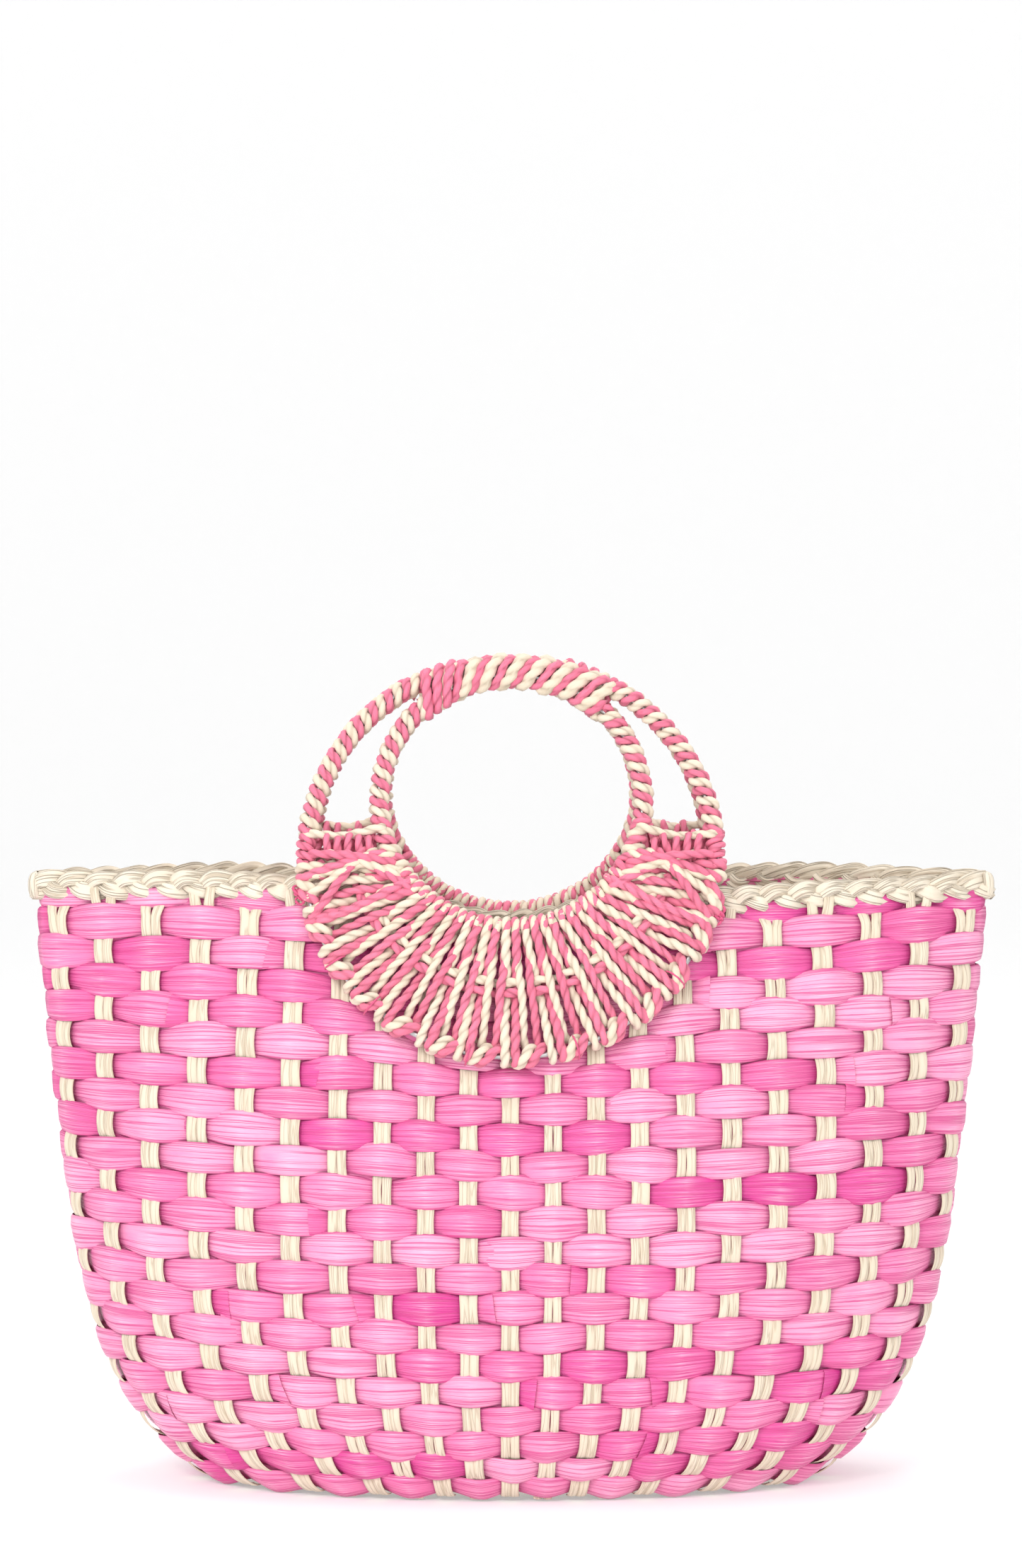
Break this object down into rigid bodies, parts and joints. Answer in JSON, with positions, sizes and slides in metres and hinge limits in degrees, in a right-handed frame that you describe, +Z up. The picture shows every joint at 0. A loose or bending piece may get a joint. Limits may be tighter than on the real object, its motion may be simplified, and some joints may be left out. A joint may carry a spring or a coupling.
{
  "type": "woven tote basket",
  "caption": "Open straw tote basket: husk weft woven over paper stakes, a plaited rim, a cloth lining and two round laced handles.",
  "frame": {"origin": "on the ground under the middle of the base", "axes": "+X along the bag's width, -Y towards the front, +Z up"},
  "size_m": [0.4368, 0.1522, 0.3768],
  "materials": {
    "dyed_husk": "satin dyed plant husk with lengthwise veins",
    "cream_paper": "matt twisted cream paper ribbon",
    "twisted_cord": "matt two-ply paper cord, rose and cream",
    "lining_cloth": "plain weave cotton",
    "ring_wire": "galvanised",
    "pink_thread": "matt twisted thread"
  },
  "bodies": {
    "basket": {"base_mat": "cream_paper", "husk_course_01": "dyed_husk", "husk_course_02": "dyed_husk", "husk_course_03": "dyed_husk", "husk_course_04": "dyed_husk", "husk_course_05": "dyed_husk", "husk_course_06": "dyed_husk", "husk_course_07": "dyed_husk", "husk_course_08": "dyed_husk", "husk_course_09": "dyed_husk", "husk_course_10": "dyed_husk", "stake_01": "cream_paper", "stake_02": "cream_paper", "stake_03": "cream_paper", "stake_04": "cream_paper", "stake_05": "cream_paper", "stake_06": "cream_paper", "stake_07": "cream_paper", "stake_08": "cream_paper", "stake_09": "cream_paper", "stake_10": "cream_paper", "stake_11": "cream_paper", "stake_12": "cream_paper", "stake_13": "cream_paper", "stake_14": "cream_paper", "stake_15": "cream_paper", "stake_16": "cream_paper", "stake_17": "cream_paper", "stake_18": "cream_paper", "stake_19": "cream_paper", "stake_20": "cream_paper", "stake_21": "cream_paper", "lining": "lining_cloth", "rim_braid": "cream_paper"},
    "front_handle": {"front_outer_ring_wire": "ring_wire", "front_inner_ring_wire": "ring_wire", "front_outer_ring_wrap": "twisted_cord", "front_inner_ring_wrap": "twisted_cord", "front_grip_wrap": "twisted_cord", "front_fan_lacing": "twisted_cord", "front_fan_weft_pink": "twisted_cord", "front_fan_weft_cream": "twisted_cord", "front_left_crossbar": "twisted_cord", "front_right_crossbar": "twisted_cord", "front_thread_tie_1": "pink_thread", "front_thread_tie_2": "pink_thread", "front_thread_tie_3": "pink_thread"},
    "back_handle": {"back_outer_ring_wire": "ring_wire", "back_inner_ring_wire": "ring_wire", "back_outer_ring_wrap": "twisted_cord", "back_inner_ring_wrap": "twisted_cord", "back_grip_wrap": "twisted_cord", "back_fan_lacing": "twisted_cord", "back_fan_weft_pink": "twisted_cord", "back_fan_weft_cream": "twisted_cord", "back_left_crossbar": "twisted_cord", "back_right_crossbar": "twisted_cord", "back_thread_tie_1": "pink_thread", "back_thread_tie_2": "pink_thread", "back_thread_tie_3": "pink_thread"}
  },
  "joints": [
    {"name": "front_handle_tilt", "type": "hinge", "parent": "basket", "child": "front_handle", "pos_m": [0, -0.07018, 0.1945], "axis": [1, 0, 0], "range_deg": [0, 18]},
    {"name": "back_handle_tilt", "type": "hinge", "parent": "basket", "child": "back_handle", "pos_m": [0, 0.07018, 0.1945], "axis": [-1, 0, 0], "range_deg": [0, 18]}
  ]
}
